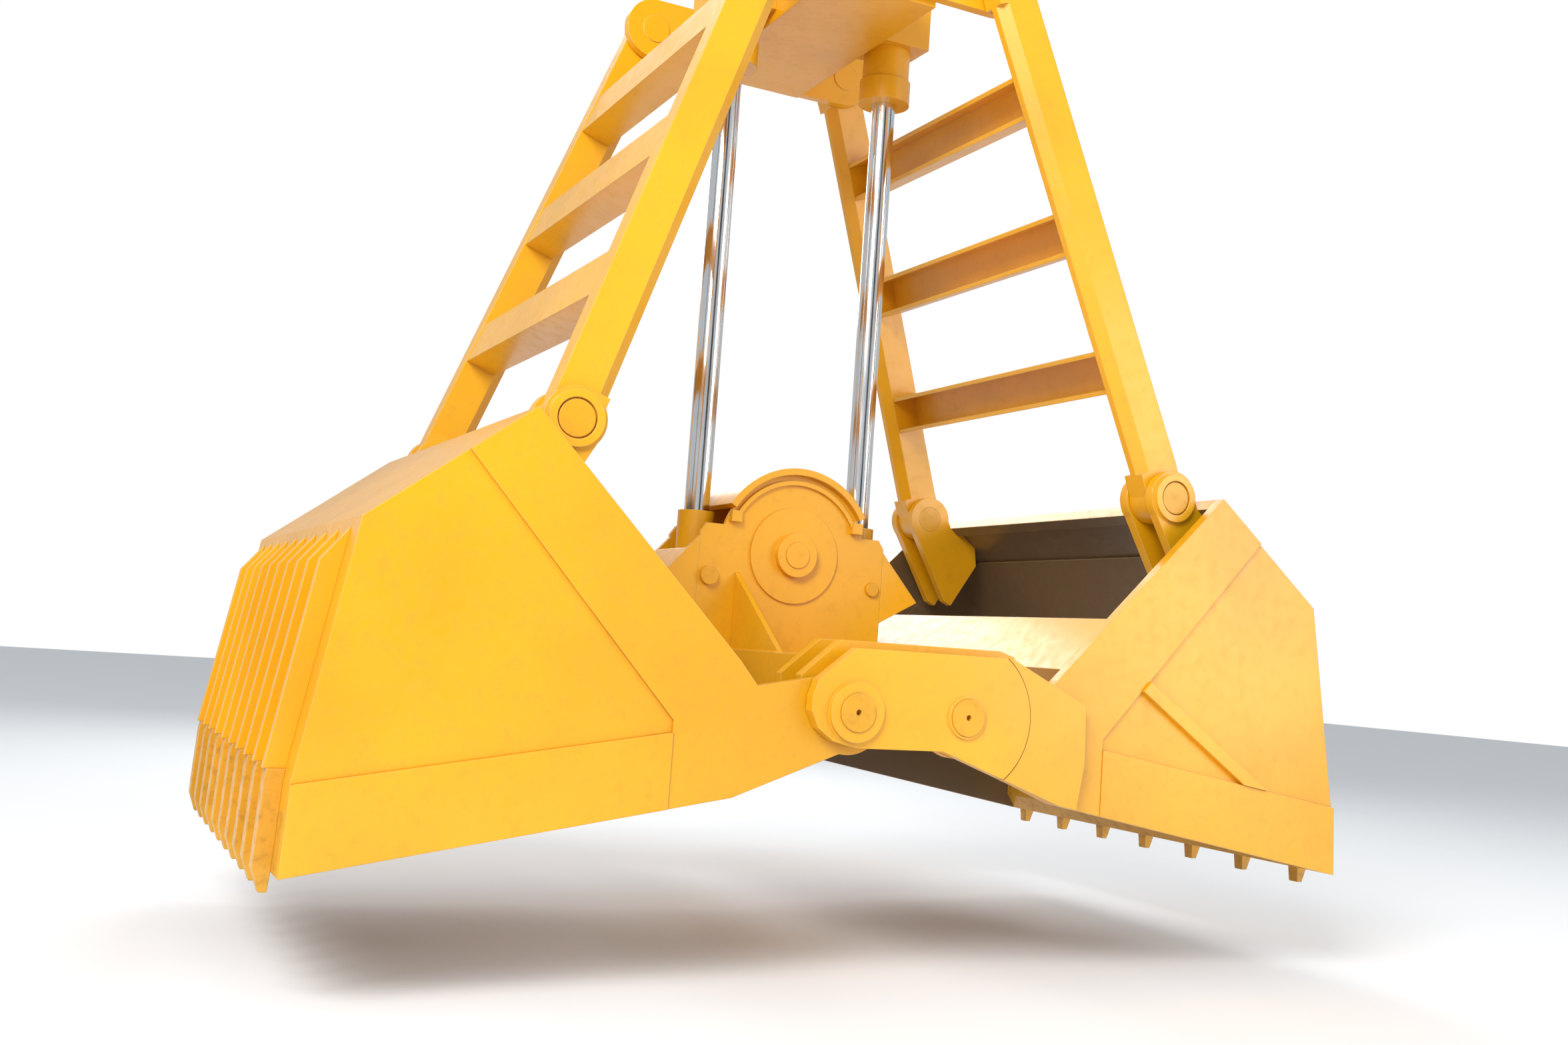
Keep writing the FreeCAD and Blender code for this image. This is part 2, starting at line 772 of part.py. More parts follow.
def arm_leg(side):
    """Near leg: lower eye, box section that leans in towards the head, and upper eye."""
    name = f"{side}_leg"
    half = float(cell.leg_thick) / 2
    bevel = float(cell.leg_bevel)
    low = float(cell.leg_weld_at)
    shift = close_in * (leg_top_at - low)
    outer, inner = -float(cell.leg_outer_y), -float(leg_inner_y)
    section = [(half, outer), (half, inner), (-half + bevel, inner), (-half, inner - bevel),
               (-half, outer + bevel), (-half + bevel, outer)]
    way = leg_up * (leg_top_at - low) + FreeCAD.Vector(0, shift, 0)
    box = slanted(f"{name}_box", [leg_point(a, low, y) for a, y in section], way)
    pieces = [box]
    tools = []
    bore = float(cell.arm_pin_round + cell.running_gap)
    wide = float(cell.leg_wide)
    for part, at, stub_end, y in (("lower", 0.0, low, outer),
                                  ("upper", arm_length, leg_top_at, outer + shift)):
        centre = leg_point(0, at, y)
        stub = [leg_point(a, b, y) for a, b in ((-half, stub_end), (half, stub_end),
                                                (half, at), (-half, at))]
        pieces.append(slanted(f"{name}_{part}_stub", stub, FreeCAD.Vector(0, wide, 0)))
        pieces.append(disc(f"{name}_{part}_eye", centre.x, centre.z, cell.leg_eye_round,
                           y + wide, wide))
        tools.append(disc(f"{name}_{part}_hole", centre.x, centre.z, bore, y + wide + 1, wide + 2))
    return cut(name, fuse(f"{name}_blank", pieces), tools)


def arm_rungs(side):
    """Channel rungs between the legs, open towards the rods, with ends cut to the slant."""
    name = f"{side}_rung"
    depth = float(cell.leg_thick) / 2 - 4
    wall = float(cell.rung_wall)
    tall = float(cell.rung_high)
    rungs = []
    for index in range(int(float(cell.rung_count))):
        height = float(cell.rung_first_z) + index * float(cell.rung_pitch)
        middle = (height - float(cell.arm_pin_z)) / math.cos(lean_turn)

        def inner_y(along):
            run = max(0.0, along - float(cell.leg_weld_at))
            return float(leg_inner_y) - close_in * run

        low, high = middle - tall / 2, middle + tall / 2
        web = slanted(f"{name}_{index}_web", [
            leg_point(depth, low, -inner_y(low)), leg_point(depth, high, -inner_y(high)),
            leg_point(depth, high, inner_y(high)), leg_point(depth, low, inner_y(low))],
            leg_across * -wall)
        flanges = []
        for part, start in (("lower", low), ("upper", high - wall)):
            ends = inner_y(start + wall)
            flanges.append(slanted(f"{name}_{index}_{part}", [
                leg_point(depth, start, -ends), leg_point(depth, start + wall, -ends),
                leg_point(depth, start + wall, ends), leg_point(depth, start, ends)],
                leg_across * -float(cell.rung_deep)))
        rungs.append(fuse(f"{name}_{index}", [web] + flanges))
    return rungs


def arm_upper_pins(side):
    """Pin stubs in the upper eyes, level with the eyes' inner faces."""
    name = f"{side}_upper_pin"
    shift = close_in * (leg_top_at - float(cell.leg_weld_at))
    front = -float(cell.leg_outer_y) + shift
    centre = leg_point(0, arm_length, 0)
    proud = float(cell.pin_end_proud)
    pin = disc(name, centre.x, centre.z, cell.arm_pin_round, front + float(cell.leg_wide),
               float(cell.leg_wide) + proud)
    return both_ends(name, pin)


def make_arm(side):
    """All pieces of one arm."""
    left = side == "left"
    leg = arm_leg(side)
    node(f"{side}_arm_near_leg", [leg] if not left else [mirror_far(f"{side}_leg_twin", leg)], left)
    node(f"{side}_arm_far_leg", [leg] if left else [mirror_far(f"{side}_leg_twin", leg)], left)
    node(f"{side}_arm_rungs", arm_rungs(side), left)
    node(f"{side}_arm_upper_pins", arm_upper_pins(side), left)


# ---------------------------------------------------------------- lower crosshead


def hinge_plate():
    """Near hinge plate: long, round at its left end, and ending in an arc round the right pin."""
    top, low = cell.hinge_plate_top_z, cell.hinge_plate_low_z
    back = -half_width - cell.hinge_plate_gap
    slope = float(knee[1] - low) / float(cell.knee_x - 117)
    right_x = cell.pin_x + cell.hinge_arc + 10
    body = prism("hinge_plate_body", [
        (-cell.pin_x - 7, top),
        (right_x, top),
        (right_x, float(low) + slope * float(right_x - 117)),
        (117, low),
        (-cell.pin_x + 8, low),
        (-cell.pin_x - 70, low + 18),
        (-cell.pin_x - 122, low + 54),
        (-cell.pin_x - 147, low + 104),
        (-cell.pin_x - 147, 40),
        (-cell.pin_x - 130, 91),
    ], back, cell.hinge_plate_thick)
    beyond = block("hinge_plate_beyond", (cell.pin_x, right_x + 10),
                   (back - cell.hinge_plate_thick - 5, back + 5), (low - 200, top + 10))
    keep = disc("hinge_plate_arc", cell.pin_x, 0, cell.hinge_arc, back + 10,
                cell.hinge_plate_thick + 20)
    face = back - cell.hinge_plate_thick
    bosses = [
        disc("big_boss", -cell.pin_x, 0, cell.big_boss_round, face, cell.big_boss_proud),
        disc("small_boss", cell.pin_x, 0, cell.small_boss_round, face, cell.small_boss_proud),
    ]
    holes = [disc(f"hinge_plate_hole_{part}", x, 0, pin_hole, back + 1, cell.hinge_plate_thick + 20)
             for part, x in (("left", -cell.pin_x), ("right", cell.pin_x))]
    plate = cut("hinge_plate_trimmed", body, [cut("hinge_plate_waste", beyond, [keep])])
    return cut("hinge_plate", fuse("hinge_plate_blank", [plate] + bosses), holes)


def inner_plates():
    """Two inner hinge plates on the near side, with sloped and rounded upper ends."""
    shape = [
        (-cell.pin_x - 145, 100),
        (-cell.pin_x - 17, 212),
        (cell.pin_x + 170, 212),
        (cell.pin_x + 222, 196),
        (cell.pin_x + 252, 150),
        (cell.pin_x + 240, 60),
        (cell.pin_x + 130, -110),
        (-cell.pin_x - 100, -110),
        (-cell.pin_x - 145, -40),
    ]
    plates = []
    for part, back, thick in (
            ("first", -inner_face + cell.inner_plate_gap + cell.inner_plate_thick,
             cell.inner_plate_thick),
            ("second", -cell.second_plate_y + cell.second_plate_thick, cell.second_plate_thick)):
        holes = [disc(f"{part}_plate_hole_{end}", x, 0, pin_hole, back + 1, thick + 2)
                 for end, x in (("left", -cell.pin_x), ("right", cell.pin_x))]
        plates.append(cut(f"{part}_plate", prism(f"{part}_plate_body", shape, back, thick), holes))
    return plates


def hinge_pins():
    """The two near hinge pins, each with a grease hole in its end."""
    back = -cell.second_plate_y + cell.second_plate_thick - 1
    plate_face = half_width + cell.hinge_plate_gap + cell.hinge_plate_thick
    pins = {}
    for end, x, proud in (("left", -cell.pin_x, cell.big_boss_proud),
                          ("right", cell.pin_x, cell.small_boss_proud)):
        front = plate_face + proud + cell.pin_end_proud
        pin = disc(f"pin_{end}_body", x, 0, cell.hinge_pin_round, back, front + back)
        hole = disc(f"pin_{end}_grease", x, 0, cell.grease_hole, -front + cell.grease_hole_deep,
                    cell.grease_hole_deep + 1)
        pins[end] = cut(f"pin_{end}", pin, [hole])
    return pins


def deck_beam():
    """Box beam between the inner hinge plates, and short webs between each pair of plates."""
    end = cell.second_plate_y - cell.second_plate_thick
    wall = cell.deck_wall
    body = block("deck_body", (-cell.deck_half, cell.deck_half), (-end, end),
                 (cell.deck_low_z, cell.deck_top_z))
    hollow = block("deck_hollow", (-cell.deck_half + wall, cell.deck_half - wall),
                   (-end - 1, end + 1), (cell.deck_low_z + wall, cell.deck_top_z - wall))
    first = inner_face - cell.inner_plate_gap - cell.inner_plate_thick
    web = block("deck_web", (-cell.web_half, cell.web_half), (-first, -cell.second_plate_y),
                (cell.deck_low_z, cell.deck_top_z))
    return [cut("deck", body, [hollow])] + both_ends("deck_web", web)


def housing_cheeks():
    """Two cheek plates with rounded tops, bored for the axle and the rod pins."""
    face = -cell.cheek_face_y
    half, high = cell.cheek_half, cell.cheek_high
    body = prism("cheek_body", [
        (-half, cell.deck_top_z), (half, cell.deck_top_z), (half, high), (half - 22, high + 32),
        (-half + 22, high + 32), (-half, high)], face + cell.cheek_thick, cell.cheek_thick)
    crown = disc("cheek_crown", 0, cell.wheel_z, cell.arch_round - cell.arch_thick,
                 face + cell.cheek_thick, cell.cheek_thick)
    holes = [disc(f"cheek_rod_hole_{end}", x, cell.rod_eye_z, cell.rod_pin_round,
                  face + cell.cheek_thick + 1, cell.cheek_thick + 2)
             for end, x in (("left", -cell.rod_x), ("right", cell.rod_x))]
    holes.append(disc("cheek_axle_hole", 0, cell.wheel_z, cell.axle_round,
                      face + cell.cheek_thick + 1, cell.cheek_thick + 2))
    return both_ends("cheek", cut("cheek", fuse("cheek_blank", [body, crown]), holes))


def arc_band(name, radius, thick, half_turn, back, wide):
    """Curved band around the wheel centre, open below."""
    item = doc.addObject("Part::Cylinder", f"{name}_outer")
    bind(item, "Radius", radius)
    bind(item, "Height", wide)
    item.Angle = 2 * float(half_turn)
    bind(item, "Angle", half_turn * 2)
    turn = TO_FRONT.multiply(FreeCAD.Rotation(FreeCAD.Vector(0, 0, 1), 90 - float(half_turn)))
    place(item, 0, back, cell.wheel_z, turn)
    inner = disc(f"{name}_inner", 0, cell.wheel_z, radius - thick, back + 1, wide + 2)
    return cut(name, item, [inner])


def housing_arch():
    """Roof band over the housing, which overhangs both cheeks."""
    reach = cell.cheek_face_y + cell.arch_over
    return [arc_band("arch", cell.arch_round, cell.arch_thick, cell.arch_half_turn, reach, reach * 2)]


def housing_trim():
    """Raised strips on the cheeks, concentric with the roof band, and clamp blocks at its ends."""
    face = cell.cheek_face_y
    strip = arc_band("trim", cell.trim_round, cell.trim_wide, cell.trim_half_turn, -face,
                     cell.trim_proud)
    pieces = both_ends("trim", strip)
    half = cell.clamp_size / 2
    turn = math.radians(float(cell.arch_half_turn))
    reach = float(cell.arch_round - cell.arch_thick)
    x = reach * math.sin(turn) - 6
    z = float(cell.wheel_z) + reach * math.cos(turn) - 30
    for end, side in (("left", -1), ("right", 1)):
        clamp = block(f"clamp_{end}", (side * x - half, side * x + half),
                      (-face - 26, -face), (z - half, z + half))
        pieces += both_ends(f"clamp_{end}", clamp)
    return pieces


def housing_covers():
    """Round cover plates with hubs on both cheeks, bored for the axle."""
    face = -cell.cheek_face_y
    plate = disc("cover_plate", 0, cell.wheel_z, cell.cover_round, face, cell.cover_proud)
    hub = disc("cover_hub", 0, cell.wheel_z, cell.hub_round, face, cell.hub_proud)
    hole = disc("cover_hole", 0, cell.wheel_z, cell.axle_round, face + 1, cell.hub_proud + 2)
    return both_ends("cover", cut("cover", fuse("cover_blank", [plate, hub]), [hole]))


def housing_axle():
    """Tie axle through both cheeks, with the spacer tube that keeps them apart."""
    reach = cell.cheek_face_y + cell.hub_proud + cell.axle_proud
    gap = cell.cheek_face_y - cell.cheek_thick
    axle = disc("axle_bar", 0, cell.wheel_z, cell.axle_round, reach, reach * 2)
    tube = disc("axle_tube", 0, cell.wheel_z, cell.spacer_round, gap, gap * 2)
    return [fuse("axle", [axle, tube])]


def housing_gussets():
    """Triangular fins that brace the cheeks against the deck, one on each face."""
    face, top = cell.cheek_face_y, cell.deck_top_z
    x = -float(cell.gusset_x)
    corners = [(-face, top), (-face - cell.gusset_long, top), (-face, top + cell.gusset_high)]
    ring = [FreeCAD.Vector(x, float(y), float(z)) for y, z in corners]
    fin = slanted("gusset", ring, FreeCAD.Vector(float(cell.gusset_thick), 0, 0))
    return [fin, turned("gusset_back", fin)]


def side_guard():
    """Sloped guard on the right end of the housing: two fins with a cover plate between them."""
    edge = cell.cheek_half
    reach, mid = cell.guard_reach, cell.guard_mid_z
    fin = prism("guard_fin", [(edge, cell.guard_top_z), (reach, mid), (edge, cell.guard_low_z)],
                -cell.cheek_face_y + cell.cheek_thick, cell.cheek_thick)
    clear_of_rod = float(cell.rod_x + cell.socket_round - edge + 18) / float(reach - edge)
    low = (reach, mid)
    top = between((edge, cell.guard_top_z), low, clear_of_rod)
    under_top, under_low = offset_line(top, low, float(cell.guard_cover_thick))
    gap = cell.cheek_face_y - cell.cheek_thick
    cover = prism("guard_cover", [top, low, under_low, under_top], gap, gap * 2)
    return both_ends("guard_fin", fin) + [cover]


def rod(side):
    """Piston rod with its piston, standing in its end socket."""
    x = cell.rod_x
    shaft = post(f"{side}_rod_shaft", x, 0, cell.rod_round, cell.rod_seat_z, rod_top)
    piston = post(f"{side}_piston", x, 0, cell.bore_round - cell.running_gap, piston_low, rod_top)
    return [fuse(f"{side}_rod", [shaft, piston])]


def rod_end(side):
    """Rod end: a socket for the rod above a flat eye for the pin."""
    x = cell.rod_x
    thick = cell.rod_eye_thick / 2
    socket = post(f"{side}_socket", x, 0, cell.socket_round, cell.rod_seat_z - 20, cell.socket_top_z)
    neck = block(f"{side}_neck", (x - cell.rod_eye_half, x + cell.rod_eye_half), (-thick, thick),
                 (cell.rod_eye_z, cell.rod_seat_z))
    eye = disc(f"{side}_rod_eye", x, cell.rod_eye_z, cell.rod_eye_half, thick, thick * 2)
    tools = [
        post(f"{side}_socket_bore", x, 0, cell.rod_round, cell.rod_seat_z, cell.socket_top_z + 1),
        disc(f"{side}_rod_eye_hole", x, cell.rod_eye_z, cell.rod_pin_round, thick + 1,
             thick * 2 + 2),
    ]
    return [cut(f"{side}_rod_end", fuse(f"{side}_rod_end_blank", [socket, neck, eye]), tools)]


def rod_pin(side):
    """Headed pin through the cheeks and the rod end, with its head at the far face."""
    x, z = cell.rod_x, cell.rod_eye_z
    reach = cell.cheek_face_y + cell.rod_pin_proud
    shaft = disc(f"{side}_rod_pin_shaft", x, z, cell.rod_pin_round, reach, reach * 2)
    head = disc(f"{side}_rod_pin_head", x, z, cell.bolt_head_round,
                cell.cheek_face_y + cell.bolt_head_high, cell.bolt_head_high)
    return fuse(f"{side}_rod_pin", [shaft, head])


def make_crosshead():
    """All pieces of the lower crosshead, which carries the jaw hinges and the rods."""
    plate = hinge_plate()
    node("near_hinge_plate", [plate])
    node("far_hinge_plate", [plate], True)
    inner = inner_plates()
    node("inner_hinge_plates",
         inner + [turned(f"far_inner_plate_{i}", plate) for i, plate in enumerate(inner)])
    pins = hinge_pins()
    node("left_hinge_pins", [pins["left"], turned("far_left_pin", pins["right"])])
    node("right_hinge_pins", [pins["right"], turned("far_right_pin", pins["left"])])
    node("deck_beam", deck_beam())
    node("housing_cheeks", housing_cheeks())
    node("housing_roof", housing_arch())
    node("housing_trim", housing_trim())
    node("housing_covers", housing_covers())
    node("housing_axle", housing_axle())
    node("housing_gussets", housing_gussets())
    guard = side_guard()
    node("right_side_guard", guard)
    node("left_side_guard", guard, True)
    right_pin = rod_pin("right")
    node("rod_pins", [right_pin, turned("left_rod_pin", right_pin)])
    right_end = rod_end("right")
    node("rod_ends", right_end + [turned("left_rod_end", right_end[0])])
    for side in ("right", "left"):
        node(f"{side}_piston_rod", rod(side), side == "left")


# ---------------------------------------------------------------- head


def cylinder_barrel(side):
    """Cylinder barrel with its gland: closed at the top, running on the rod and the piston."""
    x = cell.rod_x
    tube = post(f"{side}_barrel_tube", x, 0, cell.barrel_round, barrel_low, barrel_top)
    hollow = post(f"{side}_barrel_bore", x, 0, cell.bore_round, barrel_low - 1,
                  barrel_top - cell.barrel_spare / 2)
    return [cut(f"{side}_barrel", tube, [hollow])]


def cylinder_gland(side):
    """Gland collar that guides the rod out of the barrel."""
    x = cell.rod_x
    collar = post(f"{side}_gland_collar", x, 0, cell.gland_round, cell.gland_z, barrel_low)
    hole = post(f"{side}_gland_hole", x, 0, cell.rod_round + cell.running_gap, cell.gland_z - 1,
                barrel_low + 1)
    return [cut(f"{side}_gland", collar, [hole])]


head_plate_face = leg_inner_y - close_in * (leg_top_at - float(cell.leg_weld_at)) \
    - cell.head_plate_gap


def head_beam():
    """Box beam of the head, along Y between the two head plates."""
    end = head_plate_face - cell.head_plate_thick
    low, high = cell.head_pin_z - cell.head_high / 2, cell.head_pin_z + cell.head_high / 2
    wall = cell.head_wall
    body = block("head_body", (-cell.head_half, cell.head_half), (-end, end), (low, high))
    hollow = block("head_hollow", (-cell.head_half + wall, cell.head_half - wall),
                   (-end - 1, end + 1), (low + wall, high - wall))
    return [cut("head_beam_tube", body, [hollow])]


def head_plates():
    """End plates of the head: each carries a capped boss beside the two upper arm eyes."""
    x, z = head_pin_x, cell.head_pin_z
    round_end = cell.head_eye_round
    back = -head_plate_face + cell.head_plate_thick
    pieces = [prism("head_plate_body", [(-x, z - round_end), (x, z - round_end),
                                        (x, z + round_end), (-x, z + round_end)],
                    back, cell.head_plate_thick)]
    for end, at in (("left", -x), ("right", x)):
        pieces.append(disc(f"head_eye_{end}", at, z, round_end, back, cell.head_plate_thick))
        pieces.append(disc(f"head_cap_{end}", at, z, cell.arm_pin_round,
                           back + cell.head_pin_proud, cell.head_plate_thick))
    return both_ends("head_plate", fuse("head_plate", pieces))


def barrel_clamps():
    """Clamp blocks that hold the barrels against the head beam."""
    x = cell.rod_x
    low, high = cell.head_pin_z - cell.clamp_high / 2, cell.head_pin_z + cell.clamp_high / 2
    half = cell.clamp_half
    body = block("clamp_block", (cell.head_half, x + half), (-half, half), (low, high))
    hole = post("clamp_bore", x, 0, cell.barrel_round, low - 1, high + 1)
    right = cut("barrel_clamp", body, [hole])
    return [right, turned("barrel_clamp_left", right)]


def centre_mast():
    """Square tube from the head beam to the yoke."""
    half, wall = cell.mast_half, cell.mast_wall
    low, high = cell.head_pin_z + cell.head_high / 2, barrel_top
    body = block("mast_body", (-half, half), (-half, half), (low, high))
    hollow = block("mast_hollow", (-half + wall, half - wall), (-half + wall, half - wall),
                   (low - 1, high + 1))
    return [cut("mast", body, [hollow])]


def top_yoke():
    """Yoke beam over the barrels and the mast."""
    half, deep = cell.yoke_half, cell.yoke_deep / 2
    return [block("yoke", (-half, half), (-deep, deep), (barrel_top, yoke_top))]


def suspension_eye():
    """Eye plate on the yoke, for the shackle that carries the whole bucket."""
    thick = cell.eye_plate_thick
    wide = cell.eye_plate_round
    foot = prism("eye_foot", [(-wide - 60, yoke_top), (wide + 60, yoke_top),
                              (wide, eye_height), (-wide, eye_height)], thick / 2, thick)
    top = disc("eye_round", 0, eye_height, wide, thick / 2, thick)
    hole = disc("eye_bore", 0, eye_height, cell.eye_bore, thick / 2 + 1, thick + 2)
    return [cut("eye_plate", fuse("eye_blank", [foot, top]), [hole])]


def make_head():
    """All pieces of the head, which hangs from the crane and stays still."""
    node("head_beam", head_beam())
    node("head_plates", head_plates())
    node("barrel_clamps", barrel_clamps())
    node("centre_mast", centre_mast())
    node("top_yoke", top_yoke())
    node("suspension_eye", suspension_eye())
    right_gland = cylinder_gland("right")
    node("cylinder_glands", right_gland + [turned("left_gland", right_gland[0])])
    for side in ("right", "left"):
        node(f"{side}_cylinder_barrel", cylinder_barrel(side), side == "left")


# ---------------------------------------------------------------- build and export

make_head()
make_crosshead()
for jaw_side in ("right", "left"):
    make_jaw(jaw_side)
    make_arm(jaw_side)
doc.recompute()

problems = []
for item in doc.Objects:
    if "Invalid" in item.State or "Error" in item.State:
        problems.append(f"{item.Label}: {item.State}")
for item in nodes:
    if item.Shape.isNull() or not item.Shape.isValid():
        problems.append(f"{item.Label}: bad shape")
    if not item.Shape.Solids:
        problems.append(f"{item.Label}: no solid")
if problems:
    raise RuntimeError("; ".join(problems))

os.makedirs("parts", exist_ok=True)
for item in nodes:
    item.Shape.exportStep(f"parts/{item.Label}.step")

print("nodes", len(nodes), "solids", sum(len(item.Shape.Solids) for item in nodes))
print("closing turn", round(math.degrees(closing_turn), 3), "stroke", round(stroke, 3))
print("eye height", round(float(eye_height), 3), "head pin x", round(float(head_pin_x), 3))
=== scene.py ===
import bpy
import json
import math
import numpy as np
from mathutils import Matrix, Vector


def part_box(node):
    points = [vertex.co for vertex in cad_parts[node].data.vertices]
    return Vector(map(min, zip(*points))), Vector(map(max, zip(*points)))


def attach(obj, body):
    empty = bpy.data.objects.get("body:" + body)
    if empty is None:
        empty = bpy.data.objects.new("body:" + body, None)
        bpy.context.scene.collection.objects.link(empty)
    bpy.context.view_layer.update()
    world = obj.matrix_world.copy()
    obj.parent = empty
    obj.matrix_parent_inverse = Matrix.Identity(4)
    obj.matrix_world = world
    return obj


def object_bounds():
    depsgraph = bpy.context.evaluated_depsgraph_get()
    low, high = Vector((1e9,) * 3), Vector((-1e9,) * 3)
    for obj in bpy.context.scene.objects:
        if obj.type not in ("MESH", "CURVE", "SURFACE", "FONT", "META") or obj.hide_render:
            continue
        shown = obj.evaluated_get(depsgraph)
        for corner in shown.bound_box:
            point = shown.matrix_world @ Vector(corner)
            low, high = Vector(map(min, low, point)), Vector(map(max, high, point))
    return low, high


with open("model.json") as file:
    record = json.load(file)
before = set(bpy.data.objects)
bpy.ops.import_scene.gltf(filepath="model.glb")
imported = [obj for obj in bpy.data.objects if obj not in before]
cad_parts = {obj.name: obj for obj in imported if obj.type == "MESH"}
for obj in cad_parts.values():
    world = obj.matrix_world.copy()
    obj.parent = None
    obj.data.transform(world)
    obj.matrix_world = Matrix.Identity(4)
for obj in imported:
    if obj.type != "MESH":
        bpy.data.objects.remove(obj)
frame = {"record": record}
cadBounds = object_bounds()
scene = bpy.context.scene
nodeNames = [name for names in frame["record"]["behaviour"]["bodies"].values() for name in names]
jointAt = {j["name"]: j for j in frame["record"]["behaviour"]["joints"]}
hingeX, _, hingeZ = jointAt["right_jaw_hinge"]["pos_m"]
print("frame loaded, hinge pins at", hingeX, hingeZ)

# camera: a person's eye height beside the jaws, looking slightly up
cameraSetup = {
    "place": (-2.4105, -5.0872, 0.1706),  # metres from the middle between the hinge pins
    "azimuth": 26.55,
    "elevation": 5.996,
    "roll": 3.943,
    "lens": 35.30,
    "shift": (-0.0181, -0.0210),
}


def addCamera(setup):
    azimuth, elevation, roll = (math.radians(setup[k]) for k in ("azimuth", "elevation", "roll"))
    forward = Vector((math.sin(azimuth) * math.cos(elevation),
                      math.cos(azimuth) * math.cos(elevation), math.sin(elevation)))
    level = Vector((math.cos(azimuth), -math.sin(azimuth), 0))
    upright = level.cross(forward)
    right = level * math.cos(roll) + upright * math.sin(roll)
    up = upright * math.cos(roll) - level * math.sin(roll)
    data = bpy.data.cameras.new("viewCamera")
    data.lens = setup["lens"]
    data.sensor_width = 36
    data.shift_x, data.shift_y = setup["shift"]
    data.clip_end = 200
    camera = bpy.data.objects.new("viewCamera", data)
    scene.collection.objects.link(camera)
    turn = Matrix((right, up, -forward)).transposed().to_4x4()
    camera.matrix_world = Matrix.Translation(Vector(setup["place"]) + Vector((0, 0, hingeZ))) @ turn
    scene.camera = camera


addCamera(cameraSetup)
print("camera placed")


class Graph:
    # short names for making and joining shader nodes in one tree

    def __init__(self, tree):
        self.tree = tree

    def add(self, kind, props=None, **inputs):
        made = self.tree.nodes.new(kind)
        for key, value in (props or {}).items():
            setattr(made, key, value)
        for key, value in inputs.items():
            self.put(made, key, value)
        return made

    def put(self, made, key, value):
        socket = made.inputs[int(key[1:])] if key[1:].isdigit() else made.inputs[key.replace("_", " ")]
        if isinstance(value, bpy.types.NodeSocket):
            self.tree.links.new(value, socket)
        else:
            socket.default_value = value

    def math(self, operation, first, second=0.5):
        return self.add("ShaderNodeMath", {"operation": operation}, i0=first, i1=second).outputs[0]

    def ramp(self, value, low, high, start=0.0, end=1.0):
        made = self.add("ShaderNodeMapRange", {"interpolation_type": "SMOOTHSTEP"}, Value=value)
        for key, number in (("From Min", low), ("From Max", high), ("To Min", start), ("To Max", end)):
            made.inputs[key].default_value = number
        return made.outputs[0]

    def mix(self, share, first, second, blend="MIX"):
        made = self.add("ShaderNodeMix", {"data_type": "RGBA", "blend_type": blend})
        for index, value in ((0, share), (6, first), (7, second)):
            self.put(made, f"i{index}", value)
        return made.outputs[2]

    def noise(self, place, scale, detail=4.0, rough=0.55):
        return self.add("ShaderNodeTexNoise", Vector=place, Scale=scale, Detail=detail,
                        Roughness=rough).outputs[0]


def makeGroup(name, inputs, outputs):
    # new shader node group with float, colour or vector sockets
    tree = bpy.data.node_groups.new(name, "ShaderNodeTree")
    for label, kind, value in inputs:
        made = tree.interface.new_socket(label, in_out="INPUT", socket_type=f"NodeSocket{kind}")
        if value is not None:
            made.default_value = value
    for label, kind in outputs:
        tree.interface.new_socket(label, in_out="OUTPUT", socket_type=f"NodeSocket{kind}")
    graph = Graph(tree)
    return tree, graph, graph.add("NodeGroupInput").outputs, graph.add("NodeGroupOutput")


# worn paint: shade drift over a metre, speckle over centimetres, scuffs, and a painted highlight that
# lightens the corners
wearAndHighlightSetup = {
    "driftScale": 1.1,
    "speckScale": 24.0,
    "scuffScale": 7.0,
    "cornerRound": 0.005,  # metres
    "dirtColour": (0.16, 0.075, 0.012, 1),
    # painted highlight colour laid on the corners
    "edgeHighlightColour": (0.95, 0.72, 0.3, 1),
    "edgeHighlightShare": 0.35,
    "bumpStrength": 0.10,
    "bumpDepth": 0.004,  # metres
}


